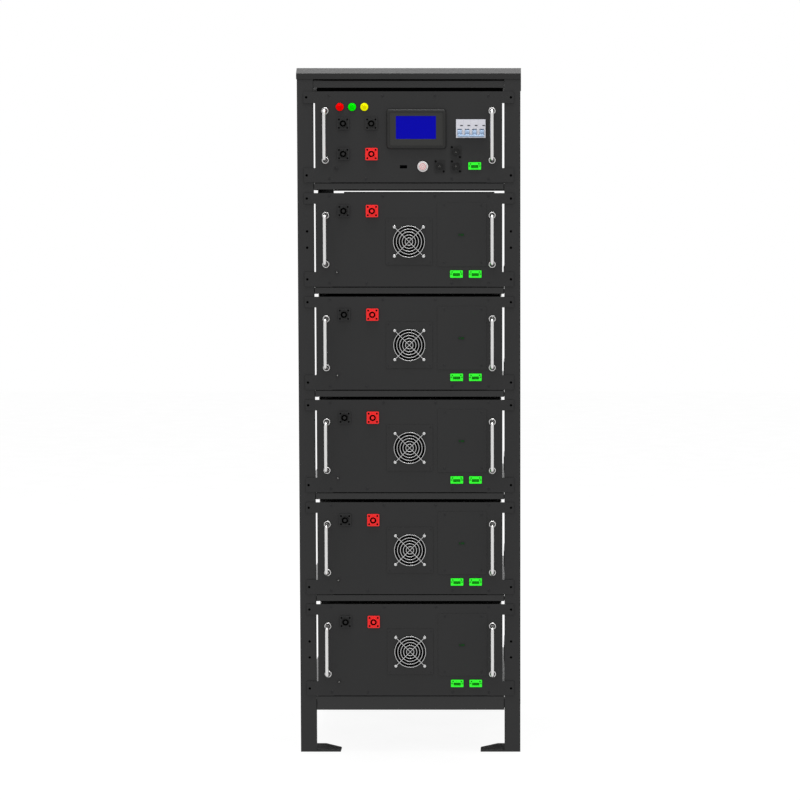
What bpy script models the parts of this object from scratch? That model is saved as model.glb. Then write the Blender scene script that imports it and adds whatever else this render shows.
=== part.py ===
"""Free-standing high-voltage battery rack: one control box above five sliding battery modules.

Metres, +Z up, the front faces -Y. The origin is on the floor, under the middle of the rack's box.
Depths below are counted backwards from the front face of the posts.
"""

import math

import bmesh
import bpy
from mathutils import Matrix, Vector

MM = 0.001
GAP = 0.3 * MM                    # clearance kept between touching solids

# rack
RACK_DEPTH = 700 * MM
POST_OUTER = 273.1 * MM           # half of the rack's width
POST_WIDTH = 39.4 * MM
POST_SIDE = 50 * MM
POST_RETURN = 15 * MM
POST_TOP = 1676 * MM
SHEET = 2 * MM
POST_HOLE_X = 250 * MM
HOLE_RADIUS = 3.25 * MM
HOLE_SIDES = 8
FOOT_THICK = 4 * MM
FOOT_TIP_X = 174 * MM
FOOT_BEND_X = 216 * MM
FOOT_ROOT_DEPTH = 85 * MM
FOOT_TIP_DEPTH = 40 * MM
FOOT_SLOT = (197 * MM, 23 * MM, 6 * MM, 5 * MM)     # x, depth, radius, half of the straight length
CAP_HALF_WIDTH = 274.6 * MM
CAP_WRAP = 1.5 * MM               # the cap stands this far in front of and behind the posts
CAP_SHEET = 1.2 * MM
CAP_LIP = (1664 * MM, 1678 * MM)
CAP_TOP = 1692 * MM
CAP_SLOPE = 20 * MM

# cross frames: channel at the front and back, rails along both sides
CHANNEL_INSET = 0.5 * MM
CHANNEL_DEPTH = 30 * MM
CHANNEL_END = 0.6 * MM
TOP_FRAME = (1643.6 * MM, 1660.3 * MM)
TOP_FRAME_REAR = 1667 * MM        # top of the top frame's rear channel, inside the cap's lip
TOP_RAIL_INNER_X = 228.3 * MM
SHELF_HEIGHT = 14.8 * MM
BOTTOM_HEIGHT = 33.9 * MM
RAIL_SHEET = 2.5 * MM
RAIL_INNER_X = 190 * MM
GUIDE_X = 228.1 * MM              # inner face of the guide bracket at the rear of each shelf rail
GUIDE_RISE = 35.4 * MM            # top of the guide bracket above the panel's lower edge
GUIDE_SPAN = (540 * MM, 691 * MM)
UPSTAND_RISE = 0.7 * MM           # top of the channels' upstand above the panel's lower edge
SHELF_RISE = 1 * MM               # top of the rail above the panel's lower edge
SKIRT_X = 272.8 * MM
REAR_DROP = 1.1 * MM              # bottom of a shelf's rear channel below that of its front channel
CHANNEL_BELOW = 2.5 * MM            # top of the channel below the panel's lower edge

# control box and battery modules
PANEL_HALF = 228.8 * MM
EAR_HALF = 257 * MM
CONTROL_EARS = (28.7 * MM, 35.1 * MM)    # heights of the upper and the lower ears
MODULE_EARS = (26.4 * MM, 36 * MM)
CONTROL_TOP = 1634.5 * MM
CONTROL_HEIGHT = 221.5 * MM
CONTROL_DEPTH = 480 * MM
CONTROL_HOLES = (1620 * MM, 1430 * MM)
MODULE_COUNT = 5
MODULE_TOP = 1387 * MM
MODULE_HEIGHT = 229 * MM
MODULE_PITCH = 254 * MM
MODULE_DEPTH = 655 * MM
EAR_HOLES_BELOW = (13.5 * MM, 211.3 * MM)
SPARE_HOLES_BELOW = (93.8 * MM, 133.8 * MM)     # empty holes beside the first and the last module
CASE_HALF = 223 * MM
CASE_SHEET = 1.5 * MM
CASE_BOTTOM = 1.3 * MM            # case bottom above the panel's lower edge
CASE_TOP = 1.5 * MM               # case top below the panel's upper edge
COVER_FLANGE = 14 * MM
COVER_LIP = (6.5 * MM, 0.2 * MM, 20 * MM)    # the module cover's rear lip: rise, inset from the back, from the sides
CABLE_ENTRY = (-140 * MM, 100 * MM, 60 * MM) # x, width and height of the opening in the control case's back

# handles
HANDLE_X = 204 * MM
HANDLE_SPACING = 120 * MM
HANDLE_STANDOFF = 39.8 * MM
HANDLE_RADIUS = 4.2 * MM
HANDLE_BEND = 11 * MM
HANDLE_SIDES = 8
CONTROL_HANDLE_Z = 1527 * MM
MODULE_HANDLE_BELOW = 114.6 * MM  # middle of the handle below the panel's upper edge

# battery module details
TERMINAL_X = (-160 * MM, -90.5 * MM)
TERMINAL_BELOW = 44 * MM
TERMINAL_HOLE = 9 * MM
FAN_BELOW = 119.3 * MM
FAN_OPENING = 37.5 * MM
FAN_RADIUS = 36 * MM
FAN_HUB = 14 * MM
FAN_BLADES = 7
FAN_START = 5 * MM
FAN_THICK = 16 * MM
SOCKET_X = (116.3 * MM, 162.3 * MM)
SOCKET_BELOW = 198.3 * MM
SOCKET_SIZE = (21 * MM, 10 * MM)
CELL_ROWS = 8
CELL_PITCH = 73 * MM
CELL_GROOVE = (2 * MM, 4 * MM)
CELL_HALF_WIDTH = 175.5 * MM
CELL_HEIGHT = 205 * MM
CELL_START = 60 * MM

# control box details
TERMINALS = ((-160 * MM, 1556 * MM), (-91 * MM, 1556 * MM), (-160 * MM, 1482 * MM), (-91 * MM, 1482 * MM))
LAMPS = {"lamp_red": -168 * MM, "lamp_green": -138 * MM, "lamp_yellow": -108 * MM}
LAMP_Z = 1596.5 * MM
LAMP_RADIUS = 10 * MM
LAMP_STEM = 7 * MM
DISPLAY = (19 * MM, 1543 * MM)
DISPLAY_SIZE = (144 * MM, 95.5 * MM)
DISPLAY_BODY = (130 * MM, 82 * MM)
DISPLAY_PROUD = 6 * MM
BREAKER = (152 * MM, 1544 * MM)
BREAKER_NOSE = (72 * MM, 45 * MM)
BREAKER_BODY = (72 * MM, 84 * MM)
BREAKER_POLE = 18 * MM
BREAKER_PROUD = 4 * MM
BREAKER_SLOT = (11 * MM, 17.6 * MM)  # width and height of each pole's opening for its toggle
TOGGLE_Z = -9.6 * MM                 # toggle axle below the middle of the breaker
TOGGLE_AXLE_DEPTH = -0.3 * MM
TOGGLE_BARREL = 8.2 * MM
TOGGLE_WIDTH = 10.2 * MM
TOGGLE_REACH = 13 * MM
TOGGLE_REST = 40                     # degrees that the levers point down at rest
TIE_SECTION = (3 * MM, 4 * MM)
LEVER_WIDTH = 9 * MM
LEVER_THICK = 3.2 * MM
BUTTON = (34.3 * MM, 1451.6 * MM)
BUTTON_RADIUS = 9.5 * MM
BUTTON_STEM = 5 * MM
BUTTON_PROUD = 7 * MM
ROUND_SOCKETS = ((75.6 * MM, 1452 * MM), (115.5 * MM, 1452 * MM), (115.5 * MM, 1486.7 * MM))
ROUND_SOCKET_RADIUS = 11 * MM
CONTROL_SOCKET = (161.4 * MM, 1453 * MM)
PORT = (-13 * MM, 1451 * MM)
PORT_SIZE = (18 * MM, 8 * MM)

# the rack's middle, from the handles' front to the cap's back edge, lies over the origin
HANDLE_PROUD = GAP + SHEET + HANDLE_STANDOFF + HANDLE_RADIUS
FRONT = -(RACK_DEPTH + CAP_WRAP - HANDLE_PROUD) / 2
PANEL_FACE = -(GAP + SHEET)       # depth of the panels' front face

COLOURS = {
    "charcoal": ((0.036, 0.036, 0.037), 0.55, 0.0),
    "dark_steel": ((0.05, 0.05, 0.052), 0.5, 0.3),
    "satin_steel": ((0.72, 0.72, 0.73), 0.25, 1.0),
    "black_plastic": ((0.012, 0.012, 0.012), 0.5, 0.0),
    "cell_blue": ((0.03, 0.12, 0.35), 0.45, 0.0),
    "white_plastic": ((0.75, 0.76, 0.8), 0.4, 0.0),
    "blue_plastic": ((0.3, 0.5, 0.7), 0.4, 0.0),
    "red_lens": ((0.9, 0.01, 0.01), 0.2, 0.0),
    "green_lens": ((0.0, 0.85, 0.03), 0.2, 0.0),
    "yellow_lens": ((0.95, 0.85, 0.0), 0.2, 0.0),
}


# ---------------------------------------------------------------- tools

def material(name):
    found = bpy.data.materials.get(name)
    if found:
        return found
    colour, roughness, metallic = COLOURS[name]
    made = bpy.data.materials.new(name)
    made.use_nodes = True
    shader = made.node_tree.nodes["Principled BSDF"]
    shader.inputs["Base Color"].default_value = (*colour, 1)
    shader.inputs["Roughness"].default_value = roughness
    shader.inputs["Metallic"].default_value = metallic
    return made


def add_object(name, bm, paint, origin=(0, 0, 0), smooth=False):
    """Makes an object from bm, whose points are relative to origin."""
    bmesh.ops.recalc_face_normals(bm, faces=bm.faces)
    mesh = bpy.data.meshes.new(name)
    bm.to_mesh(mesh)
    bm.free()
    mesh.materials.append(material(paint))
    if smooth:
        mesh.shade_smooth()
        mesh.set_sharp_from_angle(angle=math.radians(35))
    made = bpy.data.objects.new(name, mesh)
    made.location = origin
    bpy.context.scene.collection.objects.link(made)
    return made


def at_depth(depth):
    return FRONT + depth


def add_box(bm, low, high):
    """A box between two corners (x, depth, z)."""
    size = Vector(high) - Vector(low)
    middle = (Vector(high) + Vector(low)) / 2
    middle.y += FRONT
    bmesh.ops.create_cube(bm, size=1, matrix=Matrix.LocRotScale(middle, None, size))


def add_prism(bm, outline, axis, start, end):
    """Extrudes a closed outline along an axis: 'x' takes (depth, z), 'y' (x, z) and 'z' (x, depth) points."""
    def place(point, along):
        u, v = point
        return {
            "x": (along, at_depth(u), v),
            "y": (u, at_depth(along), v),
            "z": (u, at_depth(v), along),
        }[axis]

    first = [bm.verts.new(place(p, start)) for p in outline]
    last = [bm.verts.new(place(p, end)) for p in outline]
    bm.faces.new(first)
    bm.faces.new(reversed(last))
    for i, vert in enumerate(first):
        j = (i + 1) % len(first)
        bm.faces.new((first[j], vert, last[i], last[j]))


def circle(x, z, radius, sides, turn=0.0):
    angles = (turn + 2 * math.pi * i / sides for i in range(sides))
    return [(x + radius * math.cos(a), z + radius * math.sin(a)) for a in angles]


def rectangle(x, z, width, height):
    return [(x - width / 2, z - height / 2), (x + width / 2, z - height / 2),
            (x + width / 2, z + height / 2), (x - width / 2, z + height / 2)]


def slot_outline(x, depth, radius, half_length, steps=5):
    """A slot that runs along x."""
    right = [(x + half_length + radius * math.cos(a), depth + radius * math.sin(a))
             for a in (math.pi * (i / steps - 0.5) for i in range(steps + 1))]
    left = [(x - half_length - radius * math.cos(a), depth - radius * math.sin(a))
            for a in (math.pi * (i / steps - 0.5) for i in range(steps + 1))]
    return right + left


def cutter(name, bm):
    bmesh.ops.recalc_face_normals(bm, faces=bm.faces)
    mesh = bpy.data.meshes.new(name)
    bm.to_mesh(mesh)
    bm.free()
    made = bpy.data.objects.new(name, mesh)
    made.hide_render = True
    made.display_type = "WIRE"
    bpy.context.scene.collection.objects.link(made)
    return made


def boolean(target, tool, operation):
    step = target.modifiers.new(tool.name, "BOOLEAN")
    step.operation = operation
    step.solver = "EXACT"
    step.use_self = operation == "UNION"
    step.object = tool


def cut(target, outlines, axis, start, end):
    """Cuts straight holes with the given outlines through target."""
    bm = bmesh.new()
    for outline in outlines:
        add_prism(bm, outline, axis, start, end)
    boolean(target, cutter(target.name + "_holes", bm), "DIFFERENCE")


def mirrored(points, side):
    return [(side * u, v) for u, v in points]


# ---------------------------------------------------------------- rack

def module_top(index):
    return MODULE_TOP - index * MODULE_PITCH


def post_hole_heights():
    heights = list(CONTROL_HOLES)
    for index in range(MODULE_COUNT):
        spare = SPARE_HOLES_BELOW if index in (0, MODULE_COUNT - 1) else ()
        heights += [module_top(index) - below for below in EAR_HOLES_BELOW + spare]
    return heights


def build_post(name, side, front):
    """A folded channel with its foot plate welded under it."""
    def depth(value):
        return value if front else RACK_DEPTH - value

    inner = POST_OUTER - POST_WIDTH
    profile = [(POST_OUTER, 0), (inner, 0), (inner, POST_RETURN), (inner + SHEET, POST_RETURN),
               (inner + SHEET, SHEET), (POST_OUTER - SHEET, SHEET),
               (POST_OUTER - SHEET, POST_SIDE), (POST_OUTER, POST_SIDE)]
    bm = bmesh.new()
    add_prism(bm, [(side * x, depth(d)) for x, d in profile], "z", FOOT_THICK / 2, POST_TOP)
    post = add_object(name, bm, "charcoal")

    plate = [(POST_OUTER, 0), (FOOT_TIP_X, 0), (FOOT_TIP_X, FOOT_TIP_DEPTH),
             (FOOT_BEND_X, FOOT_ROOT_DEPTH), (POST_OUTER, FOOT_ROOT_DEPTH)]
    bm = bmesh.new()
    add_prism(bm, [(side * x, depth(d)) for x, d in plate], "z", 0, FOOT_THICK)
    boolean(post, cutter(name + "_foot", bm), "UNION")

    x, d, radius, half_length = FOOT_SLOT
    cut(post, [slot_outline(side * x, depth(d), radius, half_length)], "z", -FOOT_THICK, 2 * FOOT_THICK)
    if front:
        bm = bmesh.new()
        for z in post_hole_heights():
            hole = circle(side * POST_HOLE_X, z, HOLE_RADIUS, HOLE_SIDES, math.pi / HOLE_SIDES)
            add_prism(bm, hole, "y", -SHEET, 2 * SHEET)
        boolean(post, cutter(name + "_screw_holes", bm), "DIFFERENCE")


def channel_outline(depth, bottom, top, upstand=None):
    """A channel that opens towards the rack's middle. Its inner edge may carry an upstand."""
    face, web, edge = depth(CHANNEL_INSET), depth(CHANNEL_INSET + SHEET), depth(CHANNEL_DEPTH)
    outline = [(face, top)]
    if upstand:
        bend = depth(CHANNEL_DEPTH - SHEET)
        outline += [(bend, top), (bend, upstand), (edge, upstand)]
    else:
        outline.append((edge, top))
    return outline + [(edge, top - SHEET), (web, top - SHEET), (web, bottom + SHEET),
                      (edge, bottom + SHEET), (edge, bottom), (face, bottom)]


def build_frame(name, bottom, top, panel_bottom=None):
    """Channels at the front and back joined by side rails. Shelf frames carry guide brackets at the rear."""
    shelf = panel_bottom is not None
    rail_top = panel_bottom + SHELF_RISE if shelf else top
    upstand = panel_bottom + UPSTAND_RISE if shelf else None
    end = POST_OUTER - POST_WIDTH - CHANNEL_END

    bm = bmesh.new()
    add_prism(bm, channel_outline(lambda d: d, bottom, top, upstand), "x", -end, end)
    frame = add_object(name, bm, "charcoal")
    bm = bmesh.new()
    rear_bottom, rear_top = (bottom - REAR_DROP, top) if shelf else (bottom, TOP_FRAME_REAR)
    rear = channel_outline(lambda d: RACK_DEPTH - d, rear_bottom, rear_top, upstand)
    add_prism(bm, rear, "x", -end, end)
    boolean(frame, cutter(name + "_rear", bm), "UNION")

    for side in (-1, 1):
        label = f"{name}_{'right' if side > 0 else 'left'}"
        inner = RAIL_INNER_X if shelf else TOP_RAIL_INNER_X
        rail_high = rail_top if shelf else top - SHEET / 2
        rail_low = rail_high - RAIL_SHEET
        x_low, x_high = sorted((side * inner, side * end))
        bm = bmesh.new()
        add_box(bm, (x_low, CHANNEL_INSET + SHEET / 2, rail_low),
                (x_high, RACK_DEPTH - CHANNEL_INSET - SHEET / 2, rail_high))
        boolean(frame, cutter(label + "_rail", bm), "UNION")

        outer = [(end - SHEET, rail_high), (SKIRT_X, rail_high), (SKIRT_X, bottom),
                 (SKIRT_X - RAIL_SHEET, bottom), (SKIRT_X - RAIL_SHEET, rail_low), (end - SHEET, rail_low)]
        bm = bmesh.new()
        add_prism(bm, mirrored(outer, side), "y", POST_SIDE + GAP, RACK_DEPTH - POST_SIDE - GAP)
        boolean(frame, cutter(label + "_skirt", bm), "UNION")

        if shelf:
            x_low, x_high = sorted((side * GUIDE_X, side * (GUIDE_X + RAIL_SHEET)))
            bm = bmesh.new()
            add_box(bm, (x_low, GUIDE_SPAN[0], rail_top - RAIL_SHEET / 2),
                    (x_high, GUIDE_SPAN[1], panel_bottom + GUIDE_RISE))
            boolean(frame, cutter(label + "_guide", bm), "UNION")


def cap_outline(offset):
    """The cap's section, moved inwards by offset. The underside is open."""
    front, back = -CAP_WRAP + offset, RACK_DEPTH + CAP_WRAP - offset
    slope_drop = CAP_TOP - CAP_LIP[1]
    corner = offset * math.tan(math.atan2(slope_drop, CAP_SLOPE) / 2)
    lip_top, top = CAP_LIP[1] - corner, CAP_TOP - offset
    run = CAP_SLOPE * (top - lip_top) / slope_drop
    foot = CAP_LIP[0] if offset == 0 else CAP_LIP[0] - SHEET
    return [(front, foot), (front, lip_top), (front + run, top),
            (back - run, top), (back, lip_top), (back, foot)]


def build_cap():
    bm = bmesh.new()
    add_prism(bm, cap_outline(0), "x", -CAP_HALF_WIDTH, CAP_HALF_WIDTH)
    cap = add_object("rack_top_cover", bm, "charcoal")
    bm = bmesh.new()
    inside = CAP_HALF_WIDTH - CAP_SHEET
    add_prism(bm, cap_outline(CAP_SHEET), "x", -inside, inside)
    boolean(cap, cutter("rack_top_cover_inside", bm), "DIFFERENCE")


def build_rack():
    for front in (True, False):
        for side in (-1, 1):
            name = f"rack_post_{'front' if front else 'rear'}_{'right' if side > 0 else 'left'}"
            build_post(name, side, front)
    build_frame("rack_top_frame", *TOP_FRAME)
    bottoms = [CONTROL_TOP - CONTROL_HEIGHT]
    bottoms += [module_top(index) - MODULE_HEIGHT for index in range(MODULE_COUNT)]
    for number, panel_bottom in enumerate(bottoms, 1):
        top = panel_bottom - CHANNEL_BELOW
        height = BOTTOM_HEIGHT if number == len(bottoms) else SHELF_HEIGHT
        build_frame(f"shelf_frame_{number}", top - height, top, panel_bottom)
    build_cap()


# ---------------------------------------------------------------- shared box pieces

def panel_outline(bottom, top, ears):
    """A front panel with ears at the top and bottom and a notch down each side."""
    upper, lower = top - ears[0], bottom + ears[1]
    right = [(EAR_HALF, bottom), (EAR_HALF, lower), (PANEL_HALF, lower),
             (PANEL_HALF, upper), (EAR_HALF, upper), (EAR_HALF, top)]
    return right + [(-x, z) for x, z in reversed(right)]


def build_panel(name, bottom, top, ears, hole_heights, openings):
    bm = bmesh.new()
    add_prism(bm, panel_outline(bottom, top, ears), "y", PANEL_FACE, -GAP)
    panel = add_object(name, bm, "charcoal")
    holes = [circle(x, z, HOLE_RADIUS, HOLE_SIDES, math.pi / HOLE_SIDES)
             for x in (-POST_HOLE_X, POST_HOLE_X) for z in hole_heights]
    cut(panel, holes + openings, "y", PANEL_FACE - SHEET, SHEET)


def handle_path(standoff):
    """Centre line of a handle: out, down and back in, as (distance from the panel, height)."""
    half = HANDLE_SPACING / 2
    corner = [(standoff - HANDLE_BEND + HANDLE_BEND * math.sin(a), half - HANDLE_BEND + HANDLE_BEND * math.cos(a))
              for a in (math.radians(30 * i) for i in range(4))]
    upper = [(0, half)] + corner
    return upper + [(out, -z) for out, z in reversed(upper)]


def build_handle(name, x, z):
    """A round bar swept along its centre line; its feet stop just in front of the panel."""
    path = handle_path(HANDLE_STANDOFF)
    path[0] = (GAP, path[0][1])
    path[-1] = (GAP, path[-1][1])
    face = at_depth(PANEL_FACE)
    bm = bmesh.new()
    rings = []
    for i, (out, height) in enumerate(path):
        before, after = path[max(i - 1, 0)], path[min(i + 1, len(path) - 1)]
        along = Vector((0, -(after[0] - before[0]), after[1] - before[1])).normalized()
        if i in (0, len(path) - 1):
            along = Vector((0, -1 if i == 0 else 1, 0))
        across = Vector((1, 0, 0))
        normal = along.cross(across)
        centre = Vector((x, face - out, z + height))
        rings.append([
            bm.verts.new(centre + HANDLE_RADIUS * (across * math.cos(a) + normal * math.sin(a)))
            for a in (2 * math.pi * k / HANDLE_SIDES for k in range(HANDLE_SIDES))
        ])
    for low, high in zip(rings, rings[1:]):
        for k in range(HANDLE_SIDES):
            n = (k + 1) % HANDLE_SIDES
            bm.faces.new((low[k], low[n], high[n], high[k]))
    bm.faces.new(rings[0])
    bm.faces.new(rings[-1])
    add_object(name, bm, "satin_steel", smooth=True)


def build_handles(prefix, z):
    build_handle(prefix + "_handle_left", -HANDLE_X, z)
    build_handle(prefix + "_handle_right", HANDLE_X, z)


def vent_slots(x_middle, z_middle, count, spacing, width, height):
    first = x_middle - spacing * (count - 1) / 2
    return [rectangle(first + spacing * i, z_middle, width, height) for i in range(count)]


def build_tray(name, low_z, high_z, depth, half, back_openings):
    """A folded tray, open at the front and the top."""
    bm = bmesh.new()
    add_box(bm, (-half, 0, low_z), (half, depth, high_z))
    tray = add_object(name, bm, "charcoal")
    bm = bmesh.new()
    inner = half - CASE_SHEET
    add_box(bm, (-inner, -CASE_SHEET, low_z + CASE_SHEET), (inner, depth - CASE_SHEET, high_z + CASE_SHEET))
    boolean(tray, cutter(name + "_inside", bm), "DIFFERENCE")
    cut(tray, back_openings, "y", depth - 2 * CASE_SHEET, depth + CASE_SHEET)


def build_cover(name, top_z, depth, half):
    """A top cover whose side flanges wrap the tray, with a low lip across its back."""
    inner, low = half - CASE_SHEET, top_z - COVER_FLANGE
    outline = [(-half, low), (-half, top_z), (half, top_z), (half, low),
               (inner, low), (inner, top_z - CASE_SHEET), (-inner, top_z - CASE_SHEET), (-inner, low)]
    bm = bmesh.new()
    add_prism(bm, outline, "y", 0, depth)
    cover = add_object(name, bm, "charcoal")
    rise, back_inset, side_inset = COVER_LIP
    bm = bmesh.new()
    add_box(bm, (side_inset - half, depth - back_inset - CASE_SHEET, top_z - CASE_SHEET / 2),
            (half - side_inset, depth - back_inset, top_z + rise))
    boolean(cover, cutter(name + "_lip", bm), "UNION")


# ---------------------------------------------------------------- battery module

def build_fan_rotor(name, z):
    """Hub with twisted blades, its origin on the fan's axle."""
    middle = FAN_START + FAN_THICK / 2
    bm = bmesh.new()
    hub = Matrix.Rotation(math.pi / 2, 4, "X")
    bmesh.ops.create_cone(bm, cap_ends=True, segments=14, radius1=FAN_HUB, radius2=FAN_HUB,
                          depth=FAN_THICK, matrix=hub)
    rotor = add_object(name, bm, "black_plastic", (0, at_depth(middle), z), smooth=True)
    bm = bmesh.new()
    for i in range(FAN_BLADES):
        turn = Matrix.Rotation(2 * math.pi * i / FAN_BLADES, 4, "Y")
        add_blade(bm, turn)
    blades = cutter(name + "_blades", bm)
    blades.location = rotor.location
    boolean(rotor, blades, "UNION")


def add_blade(bm, turn):
    """One blade, pitched more at its root than at its tip."""
    thick = 1.2 * MM
    stations = [(FAN_HUB - 1.5 * MM, 9 * MM, 50), (FAN_RADIUS * 0.7, 13 * MM, 44), (FAN_RADIUS, 15 * MM, 38)]
    rings = []
    for radius, chord, pitch in stations:
        angle = math.radians(pitch)
        along = Vector((math.cos(angle), -math.sin(angle), 0)) * (chord / 2)
        across = Vector((math.sin(angle), math.cos(angle), 0)) * (thick / 2)
        centre = Vector((0, 0, radius))
        corners = (centre - along - across, centre + along - across, centre + along + across,
                   centre - along + across)
        rings.append([bm.verts.new(turn @ corner) for corner in corners])
    for low, high in zip(rings, rings[1:]):
        for k in range(4):
            n = (k + 1) % 4
            bm.faces.new((low[k], low[n], high[n], high[k]))
    bm.faces.new(rings[0])
    bm.faces.new(rings[-1])


def build_cell_pack(name, floor):
    """Two rows of prismatic cells strapped into one block, with a groove between each pair."""
    width, depth = CELL_GROOVE
    top = floor + CELL_HEIGHT
    outline = [(CELL_START, floor), (CELL_START, top)]
    for i in range(1, CELL_ROWS):
        seam = CELL_START + i * CELL_PITCH
        outline += [(seam - width / 2, top), (seam - width / 2, top - depth),
                    (seam + width / 2, top - depth), (seam + width / 2, top)]
    back = CELL_START + CELL_ROWS * CELL_PITCH
    outline += [(back, top), (back, floor)]
    bm = bmesh.new()
    add_prism(bm, outline, "x", -CELL_HALF_WIDTH, CELL_HALF_WIDTH)
    add_object(name, bm, "cell_blue")


def build_module(number):
    prefix = f"module_{number}"
    top = module_top(number - 1)
    bottom = top - MODULE_HEIGHT
    fan_z = top - FAN_BELOW
    openings = [circle(0, fan_z, FAN_OPENING, 24)]
    openings += [circle(x, top - TERMINAL_BELOW, TERMINAL_HOLE, 10) for x in TERMINAL_X]
    openings += [rectangle(x, top - SOCKET_BELOW, *SOCKET_SIZE) for x in SOCKET_X]
    hole_heights = [top - below for below in EAR_HOLES_BELOW]
    build_panel(prefix + "_front_panel", bottom, top, MODULE_EARS, hole_heights, openings)
    build_handles(prefix, top - MODULE_HANDLE_BELOW)

    floor, ceiling = bottom + CASE_BOTTOM, top - CASE_TOP
    vents = vent_slots(0, fan_z, 9, 14 * MM, 6 * MM, 90 * MM)
    build_tray(prefix + "_case_tray", floor, ceiling - CASE_SHEET - GAP, MODULE_DEPTH,
               CASE_HALF - CASE_SHEET - GAP, vents)
    build_cover(prefix + "_top_cover", ceiling, MODULE_DEPTH, CASE_HALF)
    build_cell_pack(prefix + "_cell_pack", floor + CASE_SHEET + 4 * MM)
    build_fan_rotor(prefix + "_fan_rotor", fan_z)


# ---------------------------------------------------------------- control box

def build_control_case(bottom, top):
    """A closed sheet case, open at the front, with vents and a cable entry at the back."""
    low, high = bottom + CASE_BOTTOM, top - CASE_TOP
    bm = bmesh.new()
    add_box(bm, (-CASE_HALF, 0, low), (CASE_HALF, CONTROL_DEPTH, high))
    case = add_object("control_case", bm, "charcoal")
    bm = bmesh.new()
    inner = CASE_HALF - CASE_SHEET
    add_box(bm, (-inner, -CASE_SHEET, low + CASE_SHEET), (inner, CONTROL_DEPTH - CASE_SHEET, high - CASE_SHEET))
    boolean(case, cutter("control_case_inside", bm), "DIFFERENCE")
    middle = (low + high) / 2
    openings = vent_slots(0, middle, 9, 14 * MM, 6 * MM, 90 * MM)
    x, width, height = CABLE_ENTRY
    openings.append(rectangle(x, middle, width, height))
    cut(case, openings, "y", CONTROL_DEPTH - 2 * CASE_SHEET, CONTROL_DEPTH + CASE_SHEET)


def build_stepped(name, paint, x, z, front_part, rear_part):
    """Two coaxial round steps, (radius, start depth, end depth) each, joined into one solid."""
    bm = bmesh.new()
    radius, start, end = front_part
    add_prism(bm, circle(x, z, radius, 20), "y", start, end)
    piece = add_object(name, bm, paint, smooth=True)
    radius, start, end = rear_part
    bm = bmesh.new()
    add_prism(bm, circle(x, z, radius, 12), "y", start, end)
    boolean(piece, cutter(name + "_stem", bm), "UNION")


def build_display(x, z):
    face = PANEL_FACE - GAP
    bm = bmesh.new()
    width, height = DISPLAY_SIZE
    add_box(bm, (x - width / 2, face - DISPLAY_PROUD, z - height / 2), (x + width / 2, face, z + height / 2))
    unit = add_object("display_unit", bm, "black_plastic")
    bm = bmesh.new()
    width, height = DISPLAY_BODY
    add_box(bm, (x - width / 2, face - DISPLAY_PROUD / 2, z - height / 2),
            (x + width / 2, 32 * MM, z + height / 2))
    boolean(unit, cutter("display_unit_body", bm), "UNION")


def build_breaker(x, z):
    """Four-pole breaker: a wide body behind the panel and a nose through its window."""
    nose_front = PANEL_FACE - BREAKER_PROUD
    bm = bmesh.new()
    width, height = BREAKER_NOSE
    add_box(bm, (x - width / 2, nose_front, z - height / 2), (x + width / 2, 12 * MM, z + height / 2))
    body = add_object("main_breaker", bm, "white_plastic")
    bm = bmesh.new()
    width, height = BREAKER_BODY
    add_box(bm, (x - width / 2, 8 * MM, z - height / 2), (x + width / 2, 62 * MM, z + height / 2))
    boolean(body, cutter("main_breaker_body", bm), "UNION")
    poles = [x + (i - 1.5) * BREAKER_POLE for i in range(4)]
    slots = [rectangle(pole, z + TOGGLE_Z, *BREAKER_SLOT) for pole in poles]
    cut(body, slots, "y", nose_front - SHEET, TOGGLE_AXLE_DEPTH + TOGGLE_BARREL + 2 * GAP)
    build_toggle(x, z + TOGGLE_Z, poles)


def build_toggle(x, z, poles):
    """Four barrels with levers that point down, joined by a tie bar. Its origin is on the axle."""
    axle = Vector((x, at_depth(TOGGLE_AXLE_DEPTH), z))
    down = math.radians(TOGGLE_REST)
    slope = Matrix.Rotation(down, 3, "X")
    tip = slope @ Vector((0, -TOGGLE_REACH, 0))
    tie_size = Vector((3 * BREAKER_POLE + TOGGLE_WIDTH, *TIE_SECTION))
    bm = bmesh.new()
    bmesh.ops.create_cube(bm, size=1, matrix=Matrix.LocRotScale(tip, slope, tie_size))
    toggle = add_object("breaker_toggle", bm, "blue_plastic", axle)
    for number, pole in enumerate(poles, 1):
        offset = Vector((pole - x, 0, 0))
        lever_size = Vector((LEVER_WIDTH, TOGGLE_REACH, LEVER_THICK))
        bm = bmesh.new()
        bmesh.ops.create_cube(bm, size=1, matrix=Matrix.LocRotScale(offset + tip / 2, slope, lever_size))
        lever = cutter(f"breaker_toggle_lever_{number}", bm)
        bm = bmesh.new()
        barrel = Matrix.Translation(offset) @ Matrix.Rotation(math.pi / 2, 4, "Y")
        bmesh.ops.create_cone(bm, cap_ends=True, segments=20, radius1=TOGGLE_BARREL, radius2=TOGGLE_BARREL,
                              depth=TOGGLE_WIDTH, matrix=barrel)
        drum = cutter(f"breaker_toggle_barrel_{number}", bm)
        for tool in (lever, drum):
            tool.location = axle
            boolean(toggle, tool, "UNION")


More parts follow.
